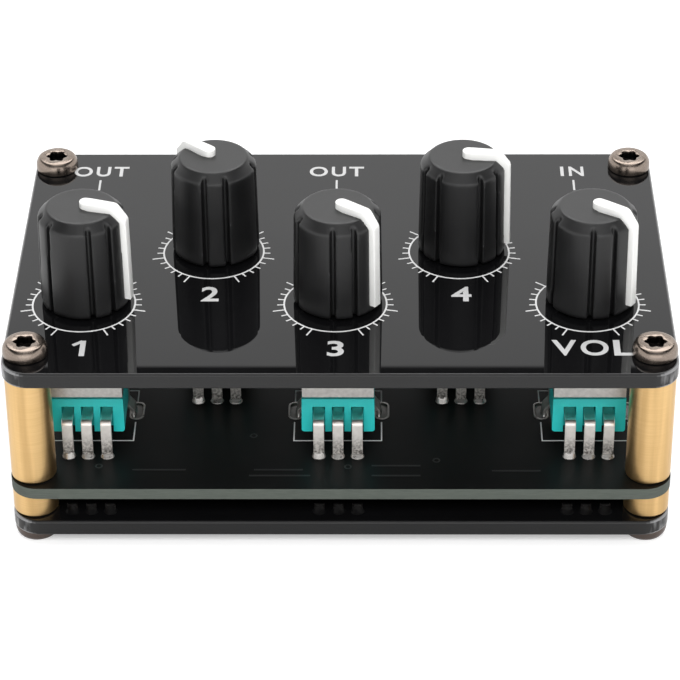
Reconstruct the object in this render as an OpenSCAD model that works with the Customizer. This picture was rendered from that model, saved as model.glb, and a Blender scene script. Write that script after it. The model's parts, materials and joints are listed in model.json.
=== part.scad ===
// Line mixer with five knobs: a circuit board held between two acrylic plates on brass standoffs.
// Millimetres. X runs to the right, Y to the rear and Z up.
// The origin is under the middle of the four screws, at the underside of the bottom screw heads.

/* [Plates] */
// Width of the plates and of the circuit board
plate_w = 85; // [82:0.5:110]
// Depth of the plates and of the circuit board
plate_d = 55; // [53:0.5:80]
// Thickness of the top plate
top_plate_t = 2.2; // [1.5:0.1:4]
// Thickness of the bottom plate
bottom_plate_t = 2.2; // [1.5:0.1:4]
// Thickness of the circuit board
board_t = 1.6; // [0.8:0.1:2.4]
// Radius of the plates' and the board's corners
corner_r = 3.6; // [1:0.1:4]
// Distance from the plates' side edges to the screws
screw_inset_x = 2.95; // [2.9:0.05:5]
// Mean distance from the plates' front and rear edges to the screws
screw_inset_y = 4.3; // [3.6:0.05:6]
// How far the top plate stands forward of the board and the bottom plate
plate_step = 1.2; // [0:0.1:1.4]
// Radial clearance of the shafts in the top plate
shaft_hole_clear = 0.6; // [0.4:0.1:1.2]

/* [Fasteners] */
// Diameter of the standoffs and the spacers
standoff_dia = 5.8; // [5:0.1:6]
// Height of the spacers between the bottom plate and the board
spacer_h = 3.65; // [2.5:0.05:8]
// Chamfer on the ends of the standoffs and the spacers
standoff_chamfer = 0.25; // [0.1:0.05:0.5]
// Diameter of the screws' threads
screw_dia = 3; // [2:0.1:3.2]
// Length of each screw inside its standoff
screw_grip = 4; // [2:0.1:6]
// Diameter of the screw heads
head_dia = 5.75; // [5.2:0.05:6.5]
// Height of the screw heads
head_h = 1.75; // [1.6:0.05:3]
// Radius of the screw heads' rounded shoulder
head_round = 0.6; // [0.3:0.05:1]
// Size of the six-lobe recess across its lobes
drive_size = 3.05; // [2:0.05:3.2]
// Depth of the six-lobe recess
drive_depth = 1.2; // [0.8:0.1:1.3]
// Radial clearance of the screws in plain holes
screw_clear = 0.15; // [0.05:0.05:0.4]
// Radial clearance of the screws in threaded holes
thread_clear = 0.02; // [0.01:0.01:0.05]

/* [Pot places] */
// Distance from the plates' side edges to the outer columns of knobs
column_margin = 10; // [8:0.1:10.4]
// Shift of all columns from the middle of the plates
column_shift = -0.35; // [-0.6:0.05:0.6]
// Distance from the board's front edge to the front row of knobs
row_margin = 16.3; // [15:0.1:18]
// Distance from the front row of knobs to the rear row
row_pitch = 12.6; // [11.5:0.1:13.4]

/* [Pots] */
// Height of the pot's base over the board
base_lift = 2.6; // [1.5:0.1:4]
// Width of the pot's base at its bottom
base_w = 9.5; // [9.2:0.1:11]
// Draft of the base's sides, from bottom to top
base_draft = 0.05; // [0:0.05:0.2]
// Distance from the shaft to the base's front face
base_front = 7.2; // [6.9:0.1:8]
// Distance from the shaft to the base's rear face
base_back = 5.5; // [5:0.1:6]
// Height of the base
base_h = 5.1; // [4.7:0.1:6]
// Radius of the base's lower corners
base_round = 0.4; // [0.1:0.05:0.8]
// Thickness of the base's floor
base_floor = 1.9; // [1:0.1:2.2]
// Diameter of the base's cavity
cavity_dia = 8.2; // [8:0.1:8.4]
// Side clearance of each terminal in its pocket in the base's front
pocket_clear = 0.12; // [0.1:0.02:0.3]
// Depth of the terminal pockets
pocket_depth = 1.4; // [0.8:0.1:1.6]
// Height of the terminal pockets
pocket_h = 3.9; // [3.4:0.1:4.4]
// Thickness of the wall behind the terminal pockets
pocket_wall = 0.6; // [0.4:0.1:0.8]
// Thickness of the wafer that carries the track
wafer_t = 0.6; // [0.4:0.1:0.9]
// Width of the wafer's tongue under the terminals
tongue_w = 7.2; // [6.6:0.1:7.4]
// Clearance round the wafer and the terminals in the base
wafer_clear = 0.1; // [0.05:0.05:0.15]

/* [Pot frame] */
// Thickness of the frame's plate
frame_t = 2.6; // [1.5:0.1:4]
// Step from the base's faces in to the frame's
frame_step = 0.05; // [0.05:0.05:0.3]
// Height of the relief under the frame's front edge
relief_h = 0.25; // [0.1:0.05:0.6]
// Depth of the relief under the frame's front edge
relief_d = 0.5; // [0.2:0.1:1]
// Diameter of the frame's bushing
bush_dia = 7.6; // [7.2:0.1:9]
// Height of the bushing over the frame's plate
bush_h = 5.4; // [3:0.1:7]
// Gap between the bushing and the top plate
bush_gap = 0.6; // [0.3:0.1:2]
// Thickness of the side lugs
lug_t = 0.35; // [0.3:0.05:0.4]
// Width of the side lugs
lug_w = 2.4; // [1.6:0.1:3]
// Place of the side lugs behind the shaft
lug_y = 1.2; // [0.8:0.1:1.6]
// Clearance of the side lugs in the base's grooves
lug_gap = 0.05; // [0.03:0.01:0.1]
// Outward kick of the lugs between the base and the board
lug_kick = 0.8; // [0.6:0.05:1]
// Height over the board where the kick starts
lug_kick_h = 1.7; // [1.5:0.1:2]
// Height over the board where the kick ends
lug_kick_end = 0.7; // [0.5:0.1:0.9]
// Radius of the kick's bends, at the strip's middle
lug_bend_r = 0.4; // [0.3:0.05:0.6]
// Width of the board's slots for the lugs
slot_w = 1.4; // [1.2:0.1:1.8]
// Length of the board's slots for the lugs
slot_l = 3.4; // [3.2:0.1:4]
// Length of the lugs and the terminals under the board
leg_tail = 1.2; // [0.6:0.1:1.6]
// Clearance of lugs and legs in the board's holes
leg_clear = 0.15; // [0.1:0.05:0.25]

/* [Terminals] */
// Distance between the terminals
pin_pitch = 2.5; // [2.3:0.05:2.6]
// Width of a terminal
pin_w = 1.4; // [1:0.05:1.5]
// Thickness of a terminal
pin_t = 0.45; // [0.3:0.05:0.6]
// Reach of the terminals in front of the base
pin_reach = 2.1; // [1.2:0.1:3]
// Length of a terminal on the wafer's tongue
pin_land = 0.8; // [0.4:0.1:1]
// Radius of the bends, at the strip's middle
bend_r = 0.5; // [0.35:0.05:0.8]

/* [Shaft and rotor] */
// Diameter of the shaft
shaft_dia = 6; // [5:0.1:6.2]
// Radial clearance of the shaft in the bushing
shaft_clear = 0.05; // [0.02:0.01:0.1]
// Depth of the flat on the shaft
shaft_flat = 1.5; // [0.8:0.1:1.8]
// Chamfer on the shaft's top end
shaft_chamfer = 0.5; // [0.2:0.1:0.8]
// Diameter of the tenon that carries the rotor
tenon_dia = 3; // [2:0.1:3.6]
// Radial clearance of fixed fits on the shaft
fixed_clear = 0.03; // [0.02:0.01:0.06]
// Diameter of the rotor
rotor_dia = 6.5; // [6.4:0.1:6.6]
// Gaps over and under the rotor
rotor_gap = 0.3; // [0.15:0.05:0.4]
// Gap between the wiper and the track
wiper_gap = 0.15; // [0.1:0.05:0.2]
// Radius of the wiper's path
wiper_r = 2.3; // [2:0.1:2.8]
// Width of a wiper contact
wiper_w = 0.5; // [0.3:0.1:0.7]
// Length of a wiper contact
wiper_l = 1.4; // [0.8:0.1:1.8]
// Reach of the rotor's stop tab, from the axis
stop_r = 3.8; // [3.6:0.05:3.9]
// Width of the rotor's tab and of the frame's peg
stop_w = 1.5; // [1:0.1:1.6]
// Thickness of the frame's stop peg
peg_t = 0.7; // [0.4:0.1:0.8]
// Gap between the rotor's rim and the stop peg
peg_clear = 0.25; // [0.15:0.05:0.3]

/* [Knobs] */
// Diameter of a knob at its bottom
knob_dia = 11.5; // [10.6:0.1:13]
// Draft of the knob's side
knob_draft = 0.2; // [0:0.05:0.4]
// Height of a knob
knob_h = 13.6; // [12:0.1:18]
// Gap between a knob and the top plate
knob_gap = 0.35; // [0.3:0.05:2]
// Height of the knob's sloped shoulder
shoulder_h = 1.15; // [0.6:0.05:1.6]
// Width of the knob's sloped shoulder
shoulder_w = 1.15; // [0.6:0.05:1.6]
// Radius of the knob's outer edges
knob_round = 0.35; // [0.1:0.05:0.5]
// Width of the grooves in the knob's side
groove_w = 0.62; // [0.4:0.02:0.8]
// Distance from the knob's axis to the grooves' floor
groove_floor = 4.75; // [4.6:0.05:5]
// Step between the grooves, in degrees
groove_step = 30; // [30:15:45]
// Diameter of the recess in the knob's underside
recess_dia = 8.6; // [7.4:0.1:9]
// Depth of the recess in the knob's underside
recess_h = 1; // [0.5:0.1:2]
// Depth of the shaft's socket, from the knob's bottom
socket_depth = 10.4; // [8:0.1:11]
// Gap over the shaft in its socket
socket_gap = 0.3; // [0.1:0.1:1]
// Turn of each knob's pointer from the front, counter-clockwise from above
knob_turns = [74, -131, 54, 84, 56];

/* [Pointers] */
// Width of the pointer at its inner end
pointer_w = 1.65; // [1:0.05:1.8]
// Width of the pointer at its outer face
pointer_tip_w = 1.2; // [0.6:0.05:1.4]
// Height of the pointer over the knob's surface
pointer_proud = 0.65; // [0.2:0.05:0.8]
// Depth of the pointer in the knob
pointer_depth = 0.7; // [0.4:0.1:0.9]
// Distance from the knob's axis to the pointer's inner end
pointer_start = 0.5; // [0:0.1:2]
// Height of the pointer's lower end over the knob's bottom
pointer_foot = 0.95; // [0.4:0.05:2]

/* [Jack sockets] */
// Width of a jack's housing
jack_w = 6.4; // [6:0.1:8]
// Length of a jack's housing
jack_l = 12; // [10:0.1:13]
// Height of a jack's housing
jack_h = 6.4; // [6.2:0.1:8]
// Diameter of the round nose
nose_dia = 6; // [5.4:0.1:6.2]
// Length of the round nose
nose_l = 3; // [1:0.1:4]
// Gap between the outer jacks and the rear standoffs
jack_gap = 0.8; // [0.7:0.1:3]
// Diameter of the plug's bore
plug_dia = 3.6; // [3.5:0.05:4]
// Depth of the plug's bore
plug_depth = 14; // [11:0.1:14]
// Width of a contact
contact_w = 1.6; // [1:0.1:2]
// Thickness of a contact
contact_t = 0.4; // [0.3:0.05:0.6]
// Height of a contact over the board
contact_h = 4.2; // [2:0.1:5]
// Distance of the side contacts from the housing's front
contact_y = 3.5; // [2:0.1:5]

/* [Resistors] */
// Length of a chip resistor
chip_l = 2; // [1.6:0.1:3.2]
// Width of a chip resistor
chip_w = 1.25; // [0.8:0.05:1.6]
// Height of a chip resistor
chip_h = 0.55; // [0.3:0.05:0.8]
// Length of a chip's end caps
cap_l = 0.4; // [0.2:0.05:0.6]
// Thickness of a chip's end caps
cap_t = 0.06; // [0.03:0.01:0.1]
// Gap between the chips and the jacks' fronts
chip_gap = 2.175; // [0.5:0.025:4]

/* [Hidden] */
$fn = 48;
// Overshoot of the cutting shapes
cut = 1;
// Sink of fused shapes into each other
fuse = 0.3;
// Steps in a rounded corner
arc_steps = 6;

// Levels from the bottom up
z_bottom_plate = head_h;
z_spacer = z_bottom_plate + bottom_plate_t;
z_board = z_spacer + spacer_h;
z_board_top = z_board + board_t;
standoff_h = base_lift + base_h + frame_t + bush_h + bush_gap;
z_top_plate = z_board_top + standoff_h;
z_top = z_top_plate + top_plate_t;
z_knob = z_top + knob_gap;

// Places of the plates, either side of the screws' middle
top_plate_y = -plate_step / 2;
board_y = plate_step / 2;
front_row_y = board_y - plate_d / 2 + row_margin;

// Pots: levels over the board, and places
z_wafer = base_lift + base_floor;
z_track = z_wafer + wafer_t;
z_frame = base_lift + base_h;
z_bush = z_frame + frame_t;
z_rotor = z_track + pin_t + wiper_gap;
rotor_t = z_frame - rotor_gap - z_rotor;
shaft_top = z_knob + socket_depth - socket_gap - z_board_top;
flat_bottom = z_knob + recess_h - fuse - z_board_top;
tongue_front = base_front - pocket_depth - pocket_wall;
frame_w = base_w - 2 * base_draft - 2 * frame_step;
lug_x = base_w / 2 - base_draft - lug_t / 2;
lug_foot_x = lug_x + lug_kick;
slot_x = lug_foot_x - lug_t / 2 - leg_clear + slot_w / 2;
pin_y = -(base_front + pin_reach) + pin_t / 2;
leg_bottom = -board_t - leg_tail;
pot_names = ["channel_1", "channel_2", "channel_3", "channel_4", "master"];
pot_list = [0 : len(pot_names) - 1];
middle_pot = (len(pot_names) - 1) / 2;
column_reach = plate_w / 2 - column_margin;
pot_x = [for (i = pot_list) column_shift + (i / middle_pot - 1) * column_reach];
pot_y = [for (i = pot_list) front_row_y + (i % 2) * row_pitch];

// Knob radii, and the outline that the pointer follows
knob_r = knob_dia / 2;
shoulder_r = knob_r - knob_draft;
top_r = shoulder_r - shoulder_w;
shoulder_z = knob_h - shoulder_h;
draft_angle = atan(knob_draft / shoulder_z);
knob_side = [[top_r, knob_h], [shoulder_r, shoulder_z], [knob_r, 0]];

// Jacks: spread evenly between the rear standoffs, with the noses flush with the board's rear edge
jack_reach = plate_w / 2 - screw_inset_x - standoff_dia / 2 - jack_gap - jack_w / 2;
jack_x = [for (i = pot_list) column_shift + (i / middle_pot - 1) * jack_reach];
jack_back = board_y + plate_d / 2 - nose_l;
jack_front = jack_back - jack_l;
contact_places = [[-1, contact_y, -90], [1, contact_y, 90], [0, 0, 0]];
chip_y = jack_front - chip_gap - chip_w / 2;

jack_names = ["jack_1", "jack_2", "jack_3", "jack_4", "jack_5"];
fixed_nodes = ["top_plate", "circuit_board", "bottom_plate", "long_standoffs", "short_spacers",
               "top_screws", "bottom_screws", "summing_resistors"];
pot_pieces = ["base", "track_wafer", "terminals", "frame", "rotor", "shaft", "knob", "pointer"];
jack_pieces = ["housing", "contacts"];

// Paths and outlines
function unit(v) = v / norm(v);
function left_of(v) = [-v[1], v[0]];
function arc_corner(a, b, c, r) =
    let (u = unit(a - b), v = unit(c - b), half = acos(u * v) / 2)
    let (centre = b + unit(u + v) * r / sin(half), from = b + u * r / tan(half) - centre)
    let (sweep = (180 - 2 * half) * sign(cross(b - a, c - b)))
    [for (i = [0 : arc_steps])
        let (t = sweep * i / arc_steps)
        centre + [from[0] * cos(t) - from[1] * sin(t), from[0] * sin(t) + from[1] * cos(t)]];
function rounded(path, r) =
    let (last = len(path) - 1)
    [for (i = [0 : last]) each i == 0 || i == last || r == 0
        ? [path[i]] : arc_corner(path[i - 1], path[i], path[i + 1], r)];
function heading(path, i) = unit(path[i + 1] - path[i]);
function mitre(path, i) =
    let (last = len(path) - 1)
    let (a = left_of(heading(path, max(i - 1, 0))), b = left_of(heading(path, min(i, last - 1))))
    (a + b) / (1 + a * b);
function shifted(path, d) = [for (i = [0 : len(path) - 1]) path[i] + d * mitre(path, i)];
function reversed(path) = [for (i = [len(path) - 1 : -1 : 0]) path[i]];
function ribbon(path, thickness) =
    concat(shifted(path, thickness / 2), reversed(shifted(path, -thickness / 2)));

module at_corners() {
    for (sx = [-1, 1])
        for (sy = [-1, 1])
            translate([sx * (plate_w / 2 - screw_inset_x), sy * (plate_d / 2 - screw_inset_y), 0])
                children();
}

module at_pots(z) {
    for (i = pot_list)
        translate([pot_x[i], pot_y[i], z]) children();
}

module at_pot(i) {
    translate([pot_x[i], pot_y[i], z_board_top]) children();
}

module at_jack(i) {
    translate([jack_x[i], jack_front, z_board_top]) children();
}

// A profile drawn in X and Z, extruded to a width in Y about the middle
module upright(width) {
    rotate([90, 0, 0]) linear_extrude(width, center = true) children();
}

module rounded_plate(thickness, y) {
    translate([0, y, 0]) linear_extrude(thickness) {
        square([plate_w - 2 * corner_r, plate_d], center = true);
        square([plate_w, plate_d - 2 * corner_r], center = true);
        for (sx = [-1, 1])
            for (sy = [-1, 1])
                translate([sx * (plate_w / 2 - corner_r), sy * (plate_d / 2 - corner_r)])
                    circle(r = corner_r);
    }
}

module drill(dia, depth) {
    translate([0, 0, -cut]) cylinder(d = dia, h = depth + 2 * cut);
}

module top_plate() {
    color("#101112")
        translate([0, 0, z_top_plate])
            difference() {
                rounded_plate(top_plate_t, top_plate_y);
                at_corners() drill(screw_dia + 2 * screw_clear, top_plate_t);
                at_pots(0) drill(shaft_dia + 2 * shaft_hole_clear, top_plate_t);
            }
}

module bottom_plate() {
    color("#101112")
        translate([0, 0, z_bottom_plate])
            difference() {
                rounded_plate(bottom_plate_t, board_y);
                at_corners() drill(screw_dia + 2 * screw_clear, bottom_plate_t);
            }
}

// Holes for one pot: three terminals and two lugs
module pot_holes() {
    pin_hole = norm([pin_w, pin_t]) + 2 * leg_clear;
    for (i = [-1 : 1])
        translate([i * pin_pitch, pin_y, 0]) drill(pin_hole, board_t);
    for (side = [-1, 1])
        translate([side * slot_x, lug_y, -cut]) linear_extrude(board_t + 2 * cut) lug_slot();
}

module lug_slot() {
    end = (slot_l - slot_w) / 2;
    square([slot_w, 2 * end], center = true);
    for (side = [-1, 1])
        translate([0, side * end]) circle(d = slot_w);
}

module circuit_board() {
    leg_hole = norm([contact_w, contact_t]) + 2 * leg_clear;
    color("#17181a")
        translate([0, 0, z_board])
            difference() {
                rounded_plate(board_t, board_y);
                at_corners() drill(screw_dia + 2 * screw_clear, board_t);
                at_pots(0) pot_holes();
                for (i = pot_list)
                    translate([jack_x[i], jack_front, 0])
                        at_contacts() translate([0, contact_t / 2, 0]) drill(leg_hole, board_t);
            }
}

module turned_post(height, bore) {
    outer = standoff_dia / 2;
    inner = bore / 2;
    c = standoff_chamfer;
    rotate_extrude()
        polygon([[inner + c, 0], [outer - c, 0], [outer, c], [outer, height - c],
                 [outer - c, height], [inner + c, height], [inner, height - c], [inner, c]]);
}

module long_standoffs() {
    color("#c9a25c")
        translate([0, 0, z_board_top])
            at_corners() turned_post(standoff_h, screw_dia + 2 * thread_clear);
}

module short_spacers() {
    color("#c9a25c")
        translate([0, 0, z_spacer])
            at_corners() turned_post(spacer_h, screw_dia + 2 * screw_clear);
}

module six_lobe() {
    lobe_r = drive_size * 0.14;
    circle(r = drive_size * 0.36);
    for (i = [0 : 5])
        rotate(60 * i) translate([drive_size / 2 - lobe_r, 0]) circle(r = lobe_r);
}

// A screw that hangs from the underside of its head
module screw(length) {
    difference() {
        rotate_extrude() {
            square([head_dia / 2 - head_round, head_h]);
            square([head_dia / 2, head_h - head_round]);
            translate([head_dia / 2 - head_round, head_h - head_round])
                intersection() {
                    circle(r = head_round);
                    square(head_round);
                }
        }
        translate([0, 0, head_h - drive_depth]) linear_extrude(drive_depth + cut) six_lobe();
    }
    translate([0, 0, -length]) cylinder(d = screw_dia, h = length + fuse);
}

module top_screws() {
    color("#8f8279")
        translate([0, 0, z_top]) at_corners() screw(top_plate_t + screw_grip);
}

module bottom_screws() {
    color("#8f8279")
        translate([0, 0, z_bottom_plate])
            at_corners()
                rotate([180, 0, 0]) screw(bottom_plate_t + spacer_h + board_t + screw_grip);
}

// The wafer's outline, grown by a clearance: a disc with a tongue towards the terminals
module wafer_outline(grow) {
    circle(d = cavity_dia - 2 * wafer_clear + 2 * grow);
    translate([-tongue_w / 2 - grow, -tongue_front + wafer_clear - grow])
        square([tongue_w + 2 * grow, tongue_front]);
}

module pot_base(i) {
    top_w = base_w - 2 * base_draft;
    pocket_w = pin_w + 2 * pocket_clear;
    front_outline = rounded([[-top_w / 2, base_h], [-base_w / 2, 0], [base_w / 2, 0],
                             [top_w / 2, base_h]], base_round);
    color("#1eb4b0")
        at_pot(i)
            difference() {
                translate([0, (base_back - base_front) / 2, base_lift])
                    upright(base_front + base_back) polygon(front_outline);
                for (p = [-1 : 1])
                    translate([p * pin_pitch - pocket_w / 2, -base_front - cut, base_lift - cut])
                        cube([pocket_w, pocket_depth + cut, pocket_h + cut]);
                for (side = [-1, 1])
                    translate([side * base_w / 2, lug_y, base_lift + base_h / 2])
                        cube([2 * (base_draft + lug_t + lug_gap), lug_w + 2 * lug_gap, base_h + cut],
                             center = true);
                translate([0, 0, z_wafer]) linear_extrude(base_h) wafer_outline(wafer_clear);
                for (p = [-1 : 1])
                    translate([p * pin_pitch, -base_front + pocket_depth, z_track + pin_t / 2])
                        cube([pin_w + 2 * wafer_clear, 4 * pocket_wall, pin_t + 2 * wafer_clear],
                             center = true);
            }
}

module pot_track_wafer(i) {
    color("#5b3d24")
        at_pot(i) translate([0, 0, z_wafer]) linear_extrude(wafer_t) wafer_outline(0);
}

module pot_terminals(i) {
    z = z_track + pin_t / 2;
    path = rounded([[-tongue_front + pin_land, z], [pin_y, z], [pin_y, leg_bottom]], bend_r);
    color("#b9b4aa")
        at_pot(i)
            for (p = [-1 : 1])
                translate([p * pin_pitch, 0, 0])
                    rotate([0, 0, 90]) upright(pin_w) polygon(ribbon(path, pin_t));
}

module frame_lug() {
    path = rounded([[lug_x, z_frame + fuse], [lug_x, lug_kick_h], [lug_foot_x, lug_kick_end],
                    [lug_foot_x, leg_bottom]], lug_bend_r);
    translate([0, lug_y, 0]) upright(lug_w) polygon(ribbon(path, lug_t));
}

module pot_frame(i) {
    shelf_d = base_front + base_back - 2 * frame_step;
    peg_h = z_frame - z_rotor - rotor_gap;
    peg_in = rotor_dia / 2 + peg_clear;
    color("#b7b4b0")
        at_pot(i)
            difference() {
                union() {
                    translate([-frame_w / 2, frame_step - base_front, z_frame])
                        cube([frame_w, shelf_d, frame_t]);
                    translate([0, 0, z_bush - fuse]) cylinder(d = bush_dia, h = bush_h + fuse);
                    translate([-stop_w / 2, -peg_in - peg_t, z_frame - peg_h])
                        cube([stop_w, peg_t, peg_h + fuse]);
                    frame_lug();
                    mirror([1, 0, 0]) frame_lug();
                }
                translate([-frame_w / 2 - cut, -base_front - cut, z_frame - cut])
                    cube([frame_w + 2 * cut, relief_d + cut, relief_h + cut]);
                translate([0, 0, z_frame])
                    drill(shaft_dia + 2 * shaft_clear, frame_t + bush_h);
            }
}

module pot_rotor(i) {
    wiper_h = z_rotor - z_track - wiper_gap;
    color("#d8d2c2")
        at_pot(i)
            rotate(knob_turns[i])
                difference() {
                    translate([0, 0, z_rotor]) {
                        cylinder(d = rotor_dia, h = rotor_t);
                        translate([-stop_w / 2, -stop_r, 0]) cube([stop_w, stop_r, rotor_t]);
                        for (side = [-1, 1])
                            translate([side * wiper_r - wiper_w / 2, -wiper_l / 2, -wiper_h])
                                cube([wiper_w, wiper_l, wiper_h + fuse]);
                    }
                    translate([0, 0, z_rotor]) drill(tenon_dia + 2 * fixed_clear, rotor_t);
                }
}

// Everything to the flat's side of a shaft of this radius
module flat_side(radius, flat) {
    translate([-radius, -radius, 0]) cube([2 * radius, 2 * radius - flat, socket_depth]);
}

module pot_shaft(i) {
    shaft_bottom = z_rotor + rotor_t;
    color("#c2c2c0")
        at_pot(i)
            rotate(knob_turns[i])
                difference() {
                    union() {
                        translate([0, 0, z_rotor]) cylinder(d = tenon_dia, h = rotor_t + fuse);
                        translate([0, 0, shaft_bottom])
                            cylinder(d = shaft_dia, h = shaft_top - shaft_chamfer - shaft_bottom);
                        translate([0, 0, shaft_top - shaft_chamfer])
                            cylinder(d1 = shaft_dia, d2 = shaft_dia - 2 * shaft_chamfer,
                                     h = shaft_chamfer);
                    }
                    translate([-shaft_dia, shaft_dia / 2 - shaft_flat, flat_bottom])
                        cube([2 * shaft_dia, shaft_dia, shaft_top]);
                }
}

// The pointer's solid, which the knob's slot shares: a bent, tapered strip with a round inner end
module pointer_body() {
    foot = [knob_r - pointer_foot * tan(draft_angle), pointer_foot];
    path = [[0, knob_h], knob_side[0], knob_side[1], foot];
    face = rounded(shifted(path, pointer_proud), knob_round + pointer_proud);
    inner = pointer_start + pointer_w / 2;
    outer = knob_r + pointer_proud + fuse;
    end_r = pointer_w / 2;
    tip = pointer_tip_w / 2;
    taper = asin(end_r / norm([outer - inner, tip])) - atan(tip / (outer - inner));
    round_end = [for (k = [0 : 2 * arc_steps])
        let (t = (180 + 2 * taper) * k / (2 * arc_steps) - taper)
        [end_r * cos(t), end_r * sin(t) - inner]];
    intersection() {
        rotate([0, 0, -90])
            upright(2 * pointer_w) polygon(concat(face, reversed(shifted(path, -pointer_depth))));
        linear_extrude(knob_h + cut)
            polygon(concat(round_end, [[-tip, -outer], [tip, -outer]]));
    }
}

// Slots down the knob's side, which run out at its bottom and on its shoulder
module knob_grooves() {
    middle = groove_floor + groove_w / 2;
    for (a = [groove_step : groove_step : 360 - groove_step])
        if (a % 90 != 0)
            rotate(a)
                translate([0, 0, -cut])
                    linear_extrude(knob_h + 2 * cut) {
                        translate([0, -middle]) circle(d = groove_w);
                        translate([-groove_w / 2, -knob_dia]) square([groove_w, knob_dia - middle]);
                    }
}

module pot_knob(i) {
    socket_r = shaft_dia / 2 + fixed_clear;
    outline = rounded(concat([[0, knob_h]], knob_side, [[0, 0]]), knob_round);
    color("#1d1d1e")
        translate([pot_x[i], pot_y[i], z_knob])
            rotate(knob_turns[i])
                difference() {
                    rotate_extrude() polygon(outline);
                    knob_grooves();
                    pointer_body();
                    translate([0, 0, -cut]) cylinder(d = recess_dia, h = recess_h + cut);
                    intersection() {
                        cylinder(r = socket_r, h = socket_depth);
                        flat_side(socket_r, shaft_flat);
                    }
                }
}

module pot_pointer(i) {
    color("#f2f1ec")
        translate([pot_x[i], pot_y[i], z_knob]) rotate(knob_turns[i]) pointer_body();
}

// The two side contacts and the one at the front of a jack's housing
module at_contacts() {
    for (c = contact_places)
        translate([c[0] * jack_w / 2, c[1], 0]) rotate(c[2]) children();
}

module jack_housing(i) {
    plug_z = jack_h / 2;
    color("#1b1b1c")
        at_jack(i)
            difference() {
                union() {
                    translate([-jack_w / 2, 0, 0]) cube([jack_w, jack_l, jack_h]);
                    translate([0, jack_l - fuse, plug_z])
                        rotate([-90, 0, 0]) cylinder(d = nose_dia, h = nose_l + fuse);
                }
                translate([0, jack_l + nose_l - plug_depth, plug_z])
                    rotate([-90, 0, 0]) cylinder(d = plug_dia, h = plug_depth + cut);
                at_contacts()
                    translate([-contact_w / 2, -cut, -cut])
                        cube([contact_w, contact_t + cut, contact_h + cut]);
            }
}

module jack_contacts(i) {
    color("#c4b58a")
        at_jack(i)
            at_contacts()
                translate([-contact_w / 2, 0, leg_bottom])
                    cube([contact_w, contact_t, contact_h - leg_bottom]);
}

module summing_resistors() {
    color("#26262a")
        for (i = [0 : len(pot_names) - 2])
            translate([pot_x[i], chip_y, z_board_top]) {
                translate([-chip_l / 2, -chip_w / 2, cap_t]) cube([chip_l, chip_w, chip_h]);
                for (side = [-1, 1])
                    translate([side * (chip_l - cap_l) / 2 - cap_l / 2 - cap_t,
                               -chip_w / 2 - cap_t, 0])
                        cube([cap_l + 2 * cap_t, chip_w + 2 * cap_t, chip_h + 2 * cap_t]);
            }
}

top_plate();
circuit_board();
bottom_plate();
long_standoffs();
short_spacers();
top_screws();
bottom_screws();
summing_resistors();
for (i = pot_list) {
    pot_base(i);
    pot_track_wafer(i);
    pot_terminals(i);
    pot_frame(i);
    pot_rotor(i);
    pot_shaft(i);
    pot_knob(i);
    pot_pointer(i);
    jack_housing(i);
    jack_contacts(i);
}
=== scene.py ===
import json
import math

import bmesh
import bpy
from mathutils import Matrix, Vector

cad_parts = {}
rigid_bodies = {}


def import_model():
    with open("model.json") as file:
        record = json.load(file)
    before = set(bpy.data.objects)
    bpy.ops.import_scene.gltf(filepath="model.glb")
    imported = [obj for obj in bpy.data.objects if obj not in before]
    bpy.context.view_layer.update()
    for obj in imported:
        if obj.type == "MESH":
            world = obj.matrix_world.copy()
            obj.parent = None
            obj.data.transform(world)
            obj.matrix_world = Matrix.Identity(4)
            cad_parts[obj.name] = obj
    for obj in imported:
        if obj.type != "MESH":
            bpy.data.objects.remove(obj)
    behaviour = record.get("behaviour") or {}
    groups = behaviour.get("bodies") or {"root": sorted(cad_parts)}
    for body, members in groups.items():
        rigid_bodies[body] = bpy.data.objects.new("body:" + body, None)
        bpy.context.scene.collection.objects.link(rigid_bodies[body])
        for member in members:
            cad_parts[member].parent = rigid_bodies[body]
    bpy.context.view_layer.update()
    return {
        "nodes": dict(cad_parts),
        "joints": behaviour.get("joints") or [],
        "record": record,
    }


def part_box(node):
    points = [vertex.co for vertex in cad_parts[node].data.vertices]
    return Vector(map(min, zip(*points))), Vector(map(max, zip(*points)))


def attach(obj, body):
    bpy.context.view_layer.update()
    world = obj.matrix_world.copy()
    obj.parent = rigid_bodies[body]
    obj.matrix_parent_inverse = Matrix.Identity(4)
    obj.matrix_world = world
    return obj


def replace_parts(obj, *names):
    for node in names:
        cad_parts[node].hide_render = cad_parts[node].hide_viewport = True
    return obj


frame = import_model()
nodes = frame["nodes"]
mm = 0.001
controls = ["channel_1", "channel_2", "channel_3", "channel_4", "master"]
jacks = ["jack_1", "jack_2", "jack_3", "jack_4", "jack_5"]
axisOf = {joint["name"].replace("_turn", ""): Vector(joint["pos_m"]) for joint in frame["joints"]}
plateLow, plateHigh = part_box("top_plate")
plateTop = Vector(((plateLow.x + plateHigh.x) / 2, (plateLow.y + plateHigh.y) / 2, plateHigh.z))
boardLow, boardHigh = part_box("circuit_board")
boardThick = (boardHigh.z - boardLow.z) / mm
topScrewLow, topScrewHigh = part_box("top_screws")
headRadius = 2.875  # of the screws, in mm
screwPlace = Vector((topScrewHigh.x - headRadius * mm, topScrewHigh.y - headRadius * mm, 0))


def boardPlace(control):
    return Vector((axisOf[control].x, axisOf[control].y, boardHigh.z))


def jackPlace(jack):
    low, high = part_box(jack + "_housing")
    return Vector(((low.x + high.x) / 2, low.y, boardHigh.z))


def atControls(ending):
    return {control + ending: boardPlace(control) for control in controls}


def atJacks(ending):
    return {jack + ending: jackPlace(jack) for jack in jacks}


print("frame loaded:", len(nodes), "nodes")


# Working in Blender: selection, edit mode, shapes by hand and hand-over to the frame

def clearSelection():
    if bpy.context.mode != "OBJECT":
        bpy.ops.object.mode_set(mode="OBJECT")
    bpy.ops.object.select_all(action="DESELECT")


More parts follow.
